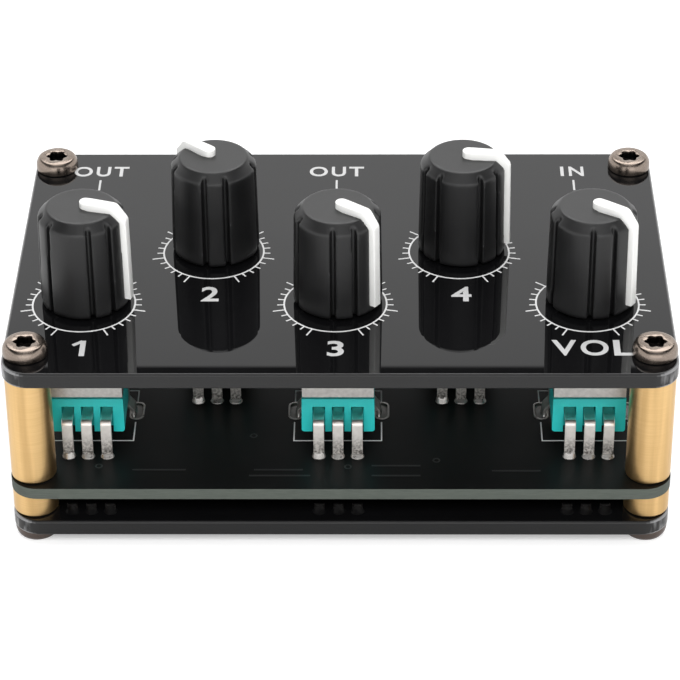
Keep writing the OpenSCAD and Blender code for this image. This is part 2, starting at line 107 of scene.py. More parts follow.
def selectPieces(pieces):
    clearSelection()
    for piece in pieces:
        piece.select_set(True)
    bpy.context.view_layer.objects.active = pieces[0]


def openEdit():
    bpy.ops.object.mode_set(mode="EDIT")


def closeEdit():
    bpy.ops.object.mode_set(mode="OBJECT")


def startPiece():
    clearSelection()
    bpy.ops.object.add(type="MESH", location=(0, 0, 0))
    openEdit()


def pickVerts(test):
    shape = bmesh.from_edit_mesh(bpy.context.object.data)
    for face in shape.faces:
        face.select_set(False)
    for vert in shape.verts:
        vert.select_set(test(vert.co))
    shape.select_flush(True)
    bmesh.update_edit_mesh(bpy.context.object.data)


def addBar(foot, size, turn=0.0):  # foot is the middle of its underside
    centre = foot + Vector((0, 0, size[2] / 2))
    bpy.ops.mesh.primitive_cube_add(size=1, location=centre, rotation=(0, 0, turn), scale=size)


def widenRing(centre, grow, height):  # the selected outline becomes a flat ring with a thickness
    bpy.ops.mesh.extrude_edges_move()
    bpy.ops.transform.resize(value=(*grow, 1), center_override=centre)
    bpy.ops.mesh.select_linked()
    bpy.ops.mesh.extrude_region_move(TRANSFORM_OT_translate={"value": (0, 0, height)})


def addRing(centre, inner, outer, height, segments):
    bpy.ops.mesh.primitive_circle_add(vertices=segments, radius=inner, location=centre)
    widenRing(centre, (outer / inner, outer / inner), height)


def addRise(centre, rings, segments):  # rings of (half width in x, half width in y, height), bottom first
    wide, deep, level = rings[0]
    bpy.ops.mesh.primitive_circle_add(vertices=segments, radius=wide, fill_type="NGON",
                                      location=centre + Vector((0, 0, level)))
    bpy.ops.transform.resize(value=(1, deep / wide, 1), center_override=centre)
    for (wide, deep, level), (nextWide, nextDeep, nextLevel) in zip(rings, rings[1:]):
        bpy.ops.mesh.extrude_region_move(TRANSFORM_OT_translate={"value": (0, 0, nextLevel - level)})
        bpy.ops.transform.resize(value=(nextWide / wide, nextDeep / deep, 1), center_override=centre)


def tidyMesh():
    bpy.ops.mesh.select_all(action="SELECT")
    bpy.ops.mesh.remove_doubles(threshold=1e-7)
    bpy.ops.mesh.normals_make_consistent(inside=False)


def roundEdges(width, segments, angle=40):
    closeEdit()
    bevel = bpy.context.object.modifiers.new("edgeRound", "BEVEL")
    bevel.width = width
    bevel.segments = segments
    bevel.limit_method = "ANGLE"
    bevel.angle_limit = math.radians(angle)
    bpy.ops.object.modifier_apply(modifier=bevel.name)


def smoothFaces(angle):
    bpy.ops.object.shade_smooth_by_angle(angle=math.radians(angle))


def register(piece, name, body, finish):
    piece.name = name
    piece.data.name = name
    piece.data.materials.clear()
    piece.data.materials.append(finish)
    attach(piece, body)
    return piece


def handOver(name, body, finish):
    closeEdit()
    bpy.ops.object.transform_apply(location=True, rotation=True, scale=True)
    return register(bpy.context.object, name, body, finish)


def spreadCopies(places, finish, smooth=None):  # of the open piece, which then goes
    closeEdit()
    pattern = bpy.context.object
    bpy.ops.object.transform_apply(location=True, rotation=True, scale=True)
    if smooth:
        smoothFaces(smooth)
    for name, place in places.items():
        piece = pattern.copy()
        piece.data = pattern.data.copy()
        piece.data.transform(Matrix.Translation(place))
        bpy.context.scene.collection.objects.link(piece)
        register(piece, name, "chassis", finish)
    bpy.data.objects.remove(pattern)


# Shader nodes
rising = (0.0, 1.0)
falling = (1.0, 0.0)
white = (1.0, 1.0, 1.0, 1.0)


def newFinish(name, fixed):
    finish = bpy.data.materials.new(name)
    finish.use_nodes = True
    shader = finish.node_tree.nodes["Principled BSDF"]
    for socket, value in fixed.items():
        shader.inputs[socket].default_value = value
    return finish, finish.node_tree, shader


def addNode(tree, kind, **settings):
    node = tree.nodes.new(kind)
    for key, value in settings.items():
        setattr(node, key, value)
    return node


def feed(tree, socket, source):  # another node's output is linked, a plain value is set
    if isinstance(source, bpy.types.NodeSocket):
        tree.links.new(source, socket)
    else:
        socket.default_value = source


def addMath(tree, operation, *sources):
    node = addNode(tree, "ShaderNodeMath", operation=operation)
    for socket, source in zip(node.inputs, sources):
        feed(tree, socket, source)
    return node.outputs["Value"]


def addVector(tree, operation, result, *sources):
    node = addNode(tree, "ShaderNodeVectorMath", operation=operation)
    for socket, source in zip(node.inputs, sources):
        feed(tree, socket, source)
    return node.outputs[result]


def addCoords(tree, kind="Object"):
    return addNode(tree, "ShaderNodeTexCoord").outputs[kind]


def addSplit(tree, vector):
    node = addNode(tree, "ShaderNodeSeparateXYZ")
    feed(tree, node.inputs["Vector"], vector)
    return node.outputs


def addNoise(tree, scale, detail=4.0, stretch=(1.0, 1.0, 1.0)):
    place = addNode(tree, "ShaderNodeMapping")
    feed(tree, place.inputs["Vector"], addCoords(tree))
    feed(tree, place.inputs["Scale"], stretch)
    noise = addNode(tree, "ShaderNodeTexNoise")
    feed(tree, noise.inputs["Vector"], place.outputs["Vector"])
    feed(tree, noise.inputs["Scale"], scale)
    feed(tree, noise.inputs["Detail"], detail)
    return noise.outputs["Fac"]


def addRange(tree, source, target, start=(0.3, 0.7)):  # what spans start comes out spanning target
    node = addNode(tree, "ShaderNodeMapRange")
    feed(tree, node.inputs["Value"], source)
    for name, value in zip(("From Min", "From Max", "To Min", "To Max"), (*start, *target)):
        feed(tree, node.inputs[name], value)
    return node.outputs["Result"]


def addMix(tree, factor, first, second):
    node = addNode(tree, "ShaderNodeMix", data_type="RGBA")
    feed(tree, node.inputs[0], factor)
    for index, shade in ((6, first), (7, second)):  # by index, because sockets of other types share the names
        feed(tree, node.inputs[index], (*shade, 1.0) if isinstance(shade, tuple) else shade)
    return node.outputs[2]


def addBump(tree, shader, height, strength, depth):
    node = addNode(tree, "ShaderNodeBump")
    feed(tree, node.inputs["Strength"], strength)
    feed(tree, node.inputs["Distance"], depth)
    feed(tree, node.inputs["Height"], height)
    feed(tree, shader.inputs["Normal"], node.outputs["Normal"])


def addHeight(tree, low, high):  # 0 at the low level, 1 at the high one
    return addRange(tree, addSplit(tree, addCoords(tree))["Z"], rising, (low, high))


def addFacing(tree, axisName):  # 1 on faces that look along the axis either way, 0 on those across it
    geometry = addNode(tree, "ShaderNodeNewGeometry")
    return addMath(tree, "ABSOLUTE", addSplit(tree, geometry.outputs["True Normal"])[axisName])


# Finishes, on Object coordinates. A noise is (scale, detail, stretch), a bump (strength, depth in metres)
# The frosted and scored greys are painted highlights on the left and right edge rounds and on the saw marks
acrylic = {"cloud": (220.0,), "polished": ((0.003, 0.003, 0.0033), (0.0045, 0.0045, 0.005)),
           "cutSides": (0.1, 0.3), "roundFrom": (0.05, 0.1), "roundTo": (0.985, 0.995), "roundRough": 0.35,
           "frostedSides": (0.15, 0.4), "frosted": (0.22, 0.22, 0.224), "sawnSides": (0.2, 0.7),
           "sawnShare": 0.8, "saw": (900.0, 2.0, (1.0, 1.0, 0.3)), "sawMarks": (0.46, 0.62),
           "scored": (0.3, 0.3, 0.305), "smear": (90.0, 6.0), "gloss": (0.004, 0.014),
           "streak": (1100.0, 3.0, (1.0, 1.0, 0.02)), "bump": (0.35, 0.00001)}


def blackAcrylic():  # polished, with frosted edge rounds and saw marks at the sides and corners; a lighter grey on the left and right rounds and on the saw marks is painted highlight
    finish, tree, shader = newFinish("blackAcrylic", {})
    upright = addFacing(tree, "Z")
    sideways = addFacing(tree, "X")
    cutSide = addRange(tree, upright, falling, acrylic["cutSides"])
    rounded = addMath(tree, "MULTIPLY", addRange(tree, upright, rising, acrylic["roundFrom"]),
                      addRange(tree, upright, falling, acrylic["roundTo"]))
    # painted highlight: a light grey on the left and right edge rounds for the bright band along them; the
    # roughness of the rounds is real
    frosted = addMath(tree, "MULTIPLY", rounded, addRange(tree, sideways, rising, acrylic["frostedSides"]))
    # saw marks: real marks, painted a lighter grey as glints at the sides and corners
    sawnSide = addRange(tree, sideways, (0.0, acrylic["sawnShare"]), acrylic["sawnSides"])
    sawMarks = addRange(tree, addNoise(tree, *acrylic["saw"]), rising, acrylic["sawMarks"])
    sawn = addMath(tree, "MULTIPLY", sawnSide, sawMarks)
    polished = addMix(tree, addNoise(tree, *acrylic["cloud"]), *acrylic["polished"])
    scored = addMix(tree, addMath(tree, "MULTIPLY", sawn, cutSide), polished, acrylic["scored"])
    feed(tree, shader.inputs["Base Color"], addMix(tree, frosted, scored, acrylic["frosted"]))
    smear = addRange(tree, addNoise(tree, *acrylic["smear"]), acrylic["gloss"])
    rough = addMath(tree, "MULTIPLY_ADD", rounded, acrylic["roundRough"], smear)
    feed(tree, shader.inputs["Roughness"], rough)
    streak = addMath(tree, "MULTIPLY", addNoise(tree, *acrylic["streak"]), cutSide)
    addBump(tree, shader, streak, *acrylic["bump"])
    return finish


board = {"specular": 0.18, "faces": (0.4, 0.6), "weave": (2600.0, 3.0, (0.25, 0.25, 3.0)),
         "core": ((0.06, 0.07, 0.062), (0.115, 0.13, 0.112)), "cloud": (320.0,),
         "mask": ((0.0026, 0.0028, 0.0028), (0.0044, 0.0045, 0.0045)), "rough": (0.6, 0.4),
         "pores": (1400.0, 3.0), "bump": (0.05, 0.00002)}


def solderMask():  # on the faces; the sawn edges show the woven core
    finish, tree, shader = newFinish("boardMask", {"Specular IOR Level": board["specular"]})
    face = addRange(tree, addFacing(tree, "Z"), rising, board["faces"])
    core = addMix(tree, addNoise(tree, *board["weave"]), *board["core"])
    mask = addMix(tree, addNoise(tree, *board["cloud"]), *board["mask"])
    feed(tree, shader.inputs["Base Color"], addMix(tree, face, core, mask))
    feed(tree, shader.inputs["Roughness"], addRange(tree, face, board["rough"], rising))
    addBump(tree, shader, addNoise(tree, *board["pores"]), *board["bump"])
    return finish


brass = {"lathe": (1000.0, 2.0, (0.12, 0.12, 7.0)), "turned": ((0.73, 0.465, 0.195), (0.89, 0.62, 0.3)),
         "streak": (620.0, 3.0, (1.0, 1.0, 0.04)), "streaks": (0.42, 0.68), "drawnShare": 0.5,
         "drawn": (0.46, 0.27, 0.1), "rough": (0.3, 0.4)}


def turnedBrass():  # lathe lines round it and darker drawn streaks along it
    finish, tree, shader = newFinish("turnedBrass", {"Metallic": 1.0})
    lathe = addNoise(tree, *brass["lathe"])
    turned = addMix(tree, lathe, *brass["turned"])
    drawn = addRange(tree, addNoise(tree, *brass["streak"]), (0.0, brass["drawnShare"]), brass["streaks"])
    feed(tree, shader.inputs["Base Color"], addMix(tree, drawn, turned, brass["drawn"]))
    feed(tree, shader.inputs["Roughness"], addRange(tree, lathe, brass["rough"]))
    return finish


# The foot and drive colours are painted shade: on the feet where the floor shades them, and inside the drive
# recesses
nickel = {"driveRadius": (1.6 * mm, 1.7 * mm), "driveDepth": (0.1 * mm, 0.3 * mm),
          "footTop": (1.6 * mm, 2.0 * mm), "plate": (700.0,),
          "bright": ((0.225, 0.182, 0.152), (0.34, 0.28, 0.238)), "foot": (0.14, 0.112, 0.1),
          "drive": (0.045, 0.04, 0.037), "rough": (0.2, 0.3), "pores": (2500.0,), "bump": (0.1, 0.000004)}


def darkNickel():  # bright on the top heads; painted shade makes the feet darker and the drives darkest inside
    finish, tree, shader = newFinish("darkNickel", {"Metallic": 1.0})
    folded = addVector(tree, "ABSOLUTE", "Vector", addCoords(tree))
    flat = addVector(tree, "MULTIPLY", "Vector", folded, (1, 1, 0))
    reach = addVector(tree, "DISTANCE", "Value", flat, screwPlace)
    inside = addRange(tree, reach, falling, nickel["driveRadius"])
    below = addHeight(tree, *(topScrewHigh.z - depth for depth in nickel["driveDepth"]))
    above = addHeight(tree, *nickel["driveDepth"])
    # painted shade inside the drive recess
    drive = addMath(tree, "MULTIPLY", addMath(tree, "MULTIPLY", inside, below), above)
    plate = addNoise(tree, *nickel["plate"])
    bright = addMix(tree, plate, *nickel["bright"])
    # painted shade on the feet, low down by the floor
    metal = addMix(tree, addHeight(tree, *nickel["footTop"]), nickel["foot"], bright)
    feed(tree, shader.inputs["Base Color"], addMix(tree, drive, metal, nickel["drive"]))
    feed(tree, shader.inputs["Roughness"], addRange(tree, plate, nickel["rough"]))
    addBump(tree, shader, addNoise(tree, *nickel["pores"]), *nickel["bump"])
    return finish


tin = {"stain": (1500.0, 6.0), "spot": (3400.0, 3.0), "spots": (0.38, 0.62),
       "mottled": ((0.13, 0.12, 0.11), (0.66, 0.63, 0.59)), "clean": ((0.64, 0.61, 0.57), (0.86, 0.83, 0.79)),
       "fluxLevel": (0.9 * mm, 3.4 * mm), "bareFaces": (0.2, 0.45), "bare": (0.82, 0.77, 0.72),
       "metallic": (0.4, 1.0), "rough": (0.3, 0.44), "bump": (0.15, 0.000006)}


def tinnedStrip():  # clean at the top, mottled by flux near the board, bare metal on faces that look up
    finish, tree, shader = newFinish("tinnedStrip", {})
    stain = addNoise(tree, *tin["stain"])
    spots = addRange(tree, addNoise(tree, *tin["spot"]), rising, tin["spots"])
    mottled = addMix(tree, spots, *tin["mottled"])
    clean = addMix(tree, stain, *tin["clean"])
    side = addMix(tree, addHeight(tree, *(boardHigh.z + level for level in tin["fluxLevel"])), mottled, clean)
    bare = addRange(tree, addFacing(tree, "Z"), rising, tin["bareFaces"])
    feed(tree, shader.inputs["Base Color"], addMix(tree, bare, side, tin["bare"]))
    feed(tree, shader.inputs["Metallic"], addRange(tree, bare, tin["metallic"], rising))
    feed(tree, shader.inputs["Roughness"], addRange(tree, stain, tin["rough"]))
    addBump(tree, shader, stain, *tin["bump"])
    return finish


# Plainer finishes: one noise varies tint and gloss, and where there are pores, another makes them
moulded = {"grain": (350.0,), "pores": (3600.0, 2.0), "bump": (0.1, 0.00002)}
plated = {"fixed": {"Metallic": 1.0}, "grain": (800.0,), "pores": (2400.0,), "bump": (0.1, 0.000004)}
soldered = {"fixed": {"Metallic": 0.8}, "grain": (1500.0,), "pores": (1500.0,), "bump": (0.2, 0.00001)}
printed = {"grain": (1100.0,), "rough": (0.5, 0.7)}
grained = {
    "tealPlastic": {"grain": (260.0,), "tint": ((0.016, 0.54, 0.525), (0.028, 0.65, 0.63)),
                    "rough": (0.36, 0.48), "pores": (3200.0,), "bump": (0.08, 0.00002)},
    "castZinc": {"fixed": {"Metallic": 1.0}, "grain": (1900.0, 6.0),
                 "tint": ((0.36, 0.345, 0.33), (0.74, 0.72, 0.69)), "rough": (0.3, 0.48),
                 "pores": (1900.0, 6.0), "bump": (0.3, 0.00001)},
    "knobPlastic": {"fixed": {"Specular IOR Level": 0.56}, "grain": (240.0,),
                    "tint": ((0.004, 0.004, 0.0043), (0.0065, 0.0065, 0.0068)), "rough": (0.36, 0.46),
                    "pores": (4200.0, 2.0), "bump": (0.12, 0.00002)},
    "whitePlastic": {"grain": (300.0,), "tint": ((0.9, 0.9, 0.88), (0.95, 0.95, 0.93)), "rough": (0.35, 0.5)},
    "chipGlaze": {**moulded, "tint": ((0.012, 0.012, 0.014), (0.02, 0.02, 0.022)), "rough": (0.24, 0.36)},
    "phenolicPaper": {**moulded, "tint": ((0.16, 0.085, 0.04), (0.26, 0.15, 0.08)), "rough": (0.49, 0.61)},
    "naturalPlastic": {**moulded, "tint": ((0.6, 0.55, 0.45), (0.7, 0.66, 0.56)), "rough": (0.34, 0.46)},
    "jackPlastic": {**moulded, "tint": ((0.009, 0.009, 0.01), (0.015, 0.015, 0.016)), "rough": (0.3, 0.42)},
    "tracedMask": {**moulded, "tint": ((0.012, 0.0125, 0.0125), (0.018, 0.0185, 0.0185)),
                   "rough": (0.28, 0.4)},
    "turnedShaft": {**plated, "tint": ((0.6, 0.6, 0.59), (0.78, 0.78, 0.77)), "rough": (0.24, 0.36)},
    "platedContact": {**plated, "tint": ((0.55, 0.45, 0.26), (0.72, 0.6, 0.38)), "rough": (0.22, 0.34)},
    "ferruleMetal": {**plated, "tint": ((0.6, 0.58, 0.55), (0.78, 0.76, 0.73)), "rough": (0.14, 0.26)},
    "brightSolder": {**soldered, "tint": ((0.28, 0.27, 0.255), (0.52, 0.505, 0.485)), "rough": (0.22, 0.38)},
    # a darker and rougher copy of the solder; the darker tone is painted shade for the solder under the board
    # and inside the lug slots
    "dullSolder": {**soldered, "tint": ((0.16, 0.155, 0.15), (0.34, 0.33, 0.315)), "rough": (0.34, 0.5)},
    "rimSolder": {**soldered, "tint": ((0.3, 0.29, 0.28), (0.52, 0.505, 0.485)), "rough": (0.26, 0.42)},
    "dialInk": {**printed, "tint": ((0.62, 0.62, 0.62), (0.72, 0.72, 0.72))},
    "wordInk": {**printed, "tint": ((0.46, 0.46, 0.46), (0.54, 0.54, 0.54))},
    "boardInk": {**printed, "tint": ((0.66, 0.66, 0.66), (0.8, 0.8, 0.8))},
}


def grainFinish(name):
    look = grained[name]
    finish, tree, shader = newFinish(name, look.get("fixed", {}))
    grain = addNoise(tree, *look["grain"])
    feed(tree, shader.inputs["Base Color"], addMix(tree, grain, *look["tint"]))
    feed(tree, shader.inputs["Roughness"], addRange(tree, grain, look["rough"]))
    if "pores" in look:
        addBump(tree, shader, addNoise(tree, *look["pores"]), *look["bump"])
    return finish


finishes = {
    "acrylic": blackAcrylic(),
    "board": solderMask(),
    "brass": turnedBrass(),
    "screw_steel": darkNickel(),
    "chip": grainFinish("chipGlaze"),
    "pot_plastic": grainFinish("tealPlastic"),
    "wafer": grainFinish("phenolicPaper"),
    "tinned": tinnedStrip(),
    "pot_metal": grainFinish("castZinc"),
    "rotor_plastic": grainFinish("naturalPlastic"),
    "shaft_metal": grainFinish("turnedShaft"),
    "knob_plastic": grainFinish("knobPlastic"),
    "pointer_plastic": grainFinish("whitePlastic"),
    "jack_plastic": grainFinish("jackPlastic"),
    "contact_metal": grainFinish("platedContact"),
}
trimNames = ("dialInk", "wordInk", "boardInk", "brightSolder", "dullSolder", "rimSolder", "ferruleMetal",
             "tracedMask")
trims = {name: grainFinish(name) for name in trimNames}
print("finishes made:", len(finishes) + len(trims))


# CAD nodes: finish, and small edge rounds as (width in mm, steps) by slot
edges = {"acrylic": (0.34, 4), "board": (0.06, 2), "brass": (0.08, 2), "pot_plastic": (0.14, 3),
         "pot_metal": (0.12, 2), "tinned": (0.08, 2), "jack_plastic": (0.15, 3), "contact_metal": (0.06, 2),
         "chip": (0.05, 2)}
fullRound = {"acrylic", "brass"}  # slots whose short edges on arcs would otherwise narrow the round
edgeWork = {"weld": 0.001 * mm, "flatAngle": 0.3, "edgeAngle": 35, "faceWeight": 100}
knobShell = {"voxel": 0.16 * mm, "passes": 10, "strength": 0.5, "kept": 0.6}  # soft moulded edges all over
slotOf = {part["node"]: part["material_slot"] for part in frame["record"]["subparts"]}


def weldNode(node):
    weld = node.modifiers.new("weld", "WELD")
    weld.merge_threshold = edgeWork["weld"]


def softenKnob(node):
    weldNode(node)
    shell = node.modifiers.new("shell", "REMESH")
    shell.mode = "VOXEL"
    shell.voxel_size = knobShell["voxel"]
    shell.use_smooth_shade = True
    soft = node.modifiers.new("soft", "SMOOTH")
    soft.factor = knobShell["strength"]
    soft.iterations = knobShell["passes"]
    thin = node.modifiers.new("thin", "DECIMATE")
    thin.ratio = knobShell["kept"]


def roundNode(node, slotName):
    width, steps = edges[slotName]
    weldNode(node)
    planes = node.modifiers.new("planes", "DECIMATE")
    planes.decimate_type = "DISSOLVE"
    planes.angle_limit = math.radians(edgeWork["flatAngle"])
    bevel = node.modifiers.new("edgeRound", "BEVEL")
    bevel.width = width * mm
    bevel.segments = steps
    bevel.limit_method = "ANGLE"
    bevel.angle_limit = math.radians(edgeWork["edgeAngle"])
    bevel.use_clamp_overlap = slotName not in fullRound
    flat = node.modifiers.new("flatFaces", "WEIGHTED_NORMAL")
    flat.mode = "FACE_AREA_WITH_ANGLE"
    flat.weight = edgeWork["faceWeight"]
    flat.keep_sharp = False


for nodeName, node in nodes.items():
    slotName = slotOf[nodeName]
    node.data.materials.clear()
    node.data.materials.append(finishes[slotName])
    if slotName == "knob_plastic":
        softenKnob(node)
    elif slotName in edges:
        roundNode(node, slotName)
print("CAD nodes dressed")


# Dials printed on the top plate, as far off the shafts as the photograph shows
dial = {"middle": Vector((-0.66, 0, 0)) * mm, "columnStep": 16.2 * mm, "frontRow": -11.2 * mm,
        "rearRow": 1.4 * mm, "ringRadius": 6.6 * mm, "lineWidth": 0.22 * mm, "segments": 160,
        "inkHeight": 0.02 * mm, "firstTick": 26.0, "tickStep": 10.27, "tickCount": 31, "majorEvery": 5,
        "majorLength": 1.5 * mm, "minorLength": 0.77 * mm, "tickWidth": 0.2 * mm}


def makeDial(index, control):
    row = dial["rearRow"] if index % 2 else dial["frontRow"]
    centre = plateTop + dial["middle"] + Vector(((index - 2) * dial["columnStep"], row, 0))
    outer = dial["ringRadius"] + dial["lineWidth"] / 2
    startPiece()
    addRing(centre, outer - dial["lineWidth"], outer, dial["inkHeight"], dial["segments"])
    for tick in range(dial["tickCount"]):
        turn = math.radians(dial["firstTick"] + tick * dial["tickStep"])
        length = dial["majorLength"] if tick % dial["majorEvery"] == 0 else dial["minorLength"]
        outward = Vector((math.sin(turn), -math.cos(turn), 0))
        addBar(centre + outward * (outer + length / 2), (dial["tickWidth"], length, dial["inkHeight"]), turn)
    tidyMesh()
    handOver(control + "_dial", "chassis", trims["dialInk"])


for index, control in enumerate(controls):
    makeDial(index, control)
print("dials printed")


# Words and numbers printed on the top plate: generic function words and plain numbers, each letter to its own
# width. Letters come with their left and right ends, words with their bottom and top, from the plate's middle
lettering = {"inkHeight": 0.02 * mm, "weight": 0.02, "curveSteps": 8}
words = {
    "word_volume": ([("V", 26.7, 29.82), ("O", 30.3, 33.8), ("L", 34.43, 37.1)], -23.2, -19.7),
    "number_2": ([("2", -18.05, -15.75)], -10.65, -7.2),
    "number_3": ([("3", -1.62, 0.5)], -23.35, -19.9),
    "number_4": ([("4", 14.3, 16.9)], -10.65, -7.2),
    "word_in": ([("I", 30.05, 30.5), ("N", 31.2, 33.25)], 21.2, 23.75),
}
rearColumns = (-33.3, -17.05, -0.8, 15.45, 31.7)  # four words OUT, then IN
wordOut = {"letters": [("O", -3.75, -1.25), ("U", -0.7, 1.25), ("T", 1.7, 3.75)], "bottom": 21.15,
           "top": 23.75}
for number, column in enumerate(rearColumns[:4], 1):
    letters = [(letter, column + left, column + right) for letter, left, right in wordOut["letters"]]
    words["word_out_" + str(number)] = (letters, wordOut["bottom"], wordOut["top"])


def addLetter(letter, left, right, bottom, top):
    clearSelection()
    bpy.ops.object.text_add(location=(0, 0, 0))
    piece = bpy.context.object
    piece.data.body = letter
    piece.data.offset = lettering["weight"]
    piece.data.resolution_u = lettering["curveSteps"]
    bpy.ops.object.convert(target="MESH")
    piece = bpy.context.object
    low = Vector(map(min, *piece.bound_box))
    high = Vector(map(max, *piece.bound_box))
    fit = ((right - left) * mm / (high.x - low.x), (top - bottom) * mm / (high.y - low.y), 1)
    openEdit()
    bpy.ops.mesh.select_all(action="SELECT")
    bpy.ops.transform.translate(value=-(low + high) / 2)
    bpy.ops.transform.resize(value=fit, center_override=(0, 0, 0))
    bpy.ops.mesh.extrude_region_move(TRANSFORM_OT_translate={"value": (0, 0, lettering["inkHeight"])})
    bpy.ops.mesh.select_all(action="SELECT")
    bpy.ops.transform.translate(value=plateTop + Vector(((left + right) / 2, (bottom + top) / 2, 0)) * mm)
    closeEdit()
    return piece


def printWord(name, letters, bottom, top):
    pieces = [addLetter(letter, left, right, bottom, top) for letter, left, right in letters]
    selectPieces(pieces)
    if len(pieces) > 1:
        bpy.ops.object.join()
    openEdit()
    tidyMesh()
    bpy.ops.mesh.faces_shade_flat()
    handOver(name, "chassis", trims["wordInk"])


for name, (letters, bottom, top) in words.items():
    printWord(name, letters, bottom, top)

# The one is drawn: a stem with a flag, whose ink is thinner so that the two don't share a face
numberOne = {"stem": (-32.44, -21.6, 0), "stemSize": (0.7 * mm, 3.45 * mm, lettering["inkHeight"]),
             "flag": (-33.12, -20.45, 0), "flagSize": (0.52 * mm, 1.5 * mm, 0.9 * lettering["inkHeight"]),
             "flagTurn": -52}
startPiece()
addBar(plateTop + Vector(numberOne["stem"]) * mm, numberOne["stemSize"])
addBar(plateTop + Vector(numberOne["flag"]) * mm, numberOne["flagSize"], math.radians(numberOne["flagTurn"]))
tidyMesh()
handOver("number_1", "chassis", trims["wordInk"])

# Lines from the rear words to the controls
rearMark = {"middle": 18.75, "size": (0.28 * mm, 2.7 * mm, lettering["inkHeight"])}
startPiece()
for column in rearColumns:
    addBar(plateTop + Vector((column, rearMark["middle"], 0)) * mm, rearMark["size"])
tidyMesh()
handOver("rear_marks", "chassis", trims["wordInk"])
print("words printed")


# Print on the board: an outline round each control, left open at the lugs
outline = {"left": -5.83 * mm, "right": 5.65 * mm, "front": -5.62 * mm, "rear": 5.9 * mm,
           "openFrom": -1.4 * mm, "openTo": 3.2 * mm, "width": 0.17 * mm, "height": 0.015 * mm}
left, right, front, rear = (outline[key] for key in ("left", "right", "front", "rear"))
line = outline["width"]
startPiece()
for level in (front, rear):
    addBar(Vector(((left + right) / 2, level, 0)), (right - left + line, line, outline["height"]))
for side in (left, right):
    for start, end in ((front + line / 2, outline["openFrom"]), (outline["openTo"], rear - line / 2)):
        addBar(Vector((side, (start + end) / 2, 0)), (line, end - start, outline["height"]))
tidyMesh()
spreadCopies(atControls("_outline"), trims["boardInk"])

# Copper under the mask shows as low ridges, and as rings round the vias. Traces are (left, right, level)
copper = {"traces": [(-11.2, -4.9, -22.7), (-26.9, -20.0, -22.7), (4.0, 10.3, -21.8), (-11.8, -3.9, -23.97),
                     (4.0, 10.3, -23.97), (19.5, 25.8, -22.9)],
          "vias": [(0.93, -22.05), (-11.48, -15.12), (-31.3, -21.9), (12.4, -20.6)], "viaInner": 0.3 * mm,
          "viaOuter": 0.5 * mm, "viaSegments": 24, "width": 0.3 * mm, "height": 0.03 * mm, "edge": 0.012 * mm}
startPiece()
for start, end, level in copper["traces"]:
    addBar(Vector(((start + end) / 2 * mm, level * mm, boardHigh.z)),
           ((end - start) * mm, copper["width"], copper["height"]))
for across, level in copper["vias"]:
    addRing(Vector((across * mm, level * mm, boardHigh.z)), copper["viaInner"], copper["viaOuter"],
            copper["height"], copper["viaSegments"])
tidyMesh()
roundEdges(copper["edge"], 2)
handOver("board_copper", "chassis", trims["tracedMask"])
print("board printed")


# Solder: on each control's three terminals and two lugs, above the board and below it. Rings are (half width,
# half depth, height), from the board's top face, as a share of the climb, or down from its lower face
solder = {"segments": 24, "smooth": 60, "pinY": -9.075, "lugX": 5.325, "slotX": 5.7, "lugY": 1.2,
          "pins": [(-2.5, 0.75), (0.0, 0.45), (2.5, 0.5)],  # place across, and climb
          "pinFoot": [(0.9, 0.72, 0.0), (0.88, 0.68, 0.08)],
          "pinClimb": [(0.82, 0.52, 0.4), (0.76, 0.38, 0.75), (0.71, 0.27, 1.0)],
          "lug": [(0.42, 1.5, -0.1), (0.36, 1.42, 0.1), (0.24, 1.3, 0.3), (0.19, 1.22, 0.5)],
          "slot": [(0.85, 1.95, -0.5), (0.85, 1.95, -0.16), (0.5, 1.3, -0.1)],
          "pinUnder": [(0.95, 0.85, 0.0), (0.88, 0.76, 0.12), (0.74, 0.5, 0.4), (0.72, 0.3, 0.8),
                       (0.55, 0.18, 1.3)],
          "lugUnder": [(0.95, 1.95, 0.0), (0.88, 1.86, 0.14), (0.6, 1.5, 0.5), (0.42, 1.3, 0.9),
                       (0.3, 1.1, 1.3)]}
jackLegs = {"places": [(-3.0, 3.5), (3.0, 3.5), (0.0, 0.2)],
            "under": [(1.2, 1.2, 0.0), (1.1, 1.1, 0.14), (0.75, 0.75, 0.55), (0.6, 0.6, 0.95),
                      (0.42, 0.42, 1.3)]}


def addFlow(x, y, rings):
    inMetres = [tuple(value * mm for value in ring) for ring in rings]
    addRise(Vector((x, y, 0)) * mm, inMetres, solder["segments"])


def underBoard(rings):
    return [(wide, deep, -boardThick - drop) for wide, deep, drop in rings]


startPiece()
for across, climb in solder["pins"]:
    climbing = [(wide, deep, share * climb) for wide, deep, share in solder["pinClimb"]]
    addFlow(across, solder["pinY"], solder["pinFoot"] + climbing)
for side in (-1, 1):
    addFlow(side * solder["lugX"], solder["lugY"], solder["lug"])
tidyMesh()
spreadCopies(atControls("_solder"), trims["brightSolder"], solder["smooth"])

startPiece()
for across, _ in solder["pins"]:
    addFlow(across, solder["pinY"], underBoard(solder["pinUnder"]))
for side in (-1, 1):
    addFlow(side * solder["slotX"], solder["lugY"], solder["slot"])
    addFlow(side * solder["slotX"], solder["lugY"], underBoard(solder["lugUnder"]))
tidyMesh()
# painted shade: the lower solder takes the darker copy
spreadCopies(atControls("_lower_solder"), trims["dullSolder"], solder["smooth"])

# Oval plated rims of the lug slots, as (half width, half depth)
rim = {"inner": (0.75, 1.75), "outer": (1.0, 2.02), "height": 0.045 * mm, "segments": 40, "edge": 0.015 * mm,
       "smooth": 40, "reach": 2.0 * mm, "offMiddle": 0.001 * mm}
rimGrow = [outer / inner for outer, inner in zip(rim["outer"], rim["inner"])]
rimStretch = (rim["inner"][1] - rim["inner"][0]) * mm


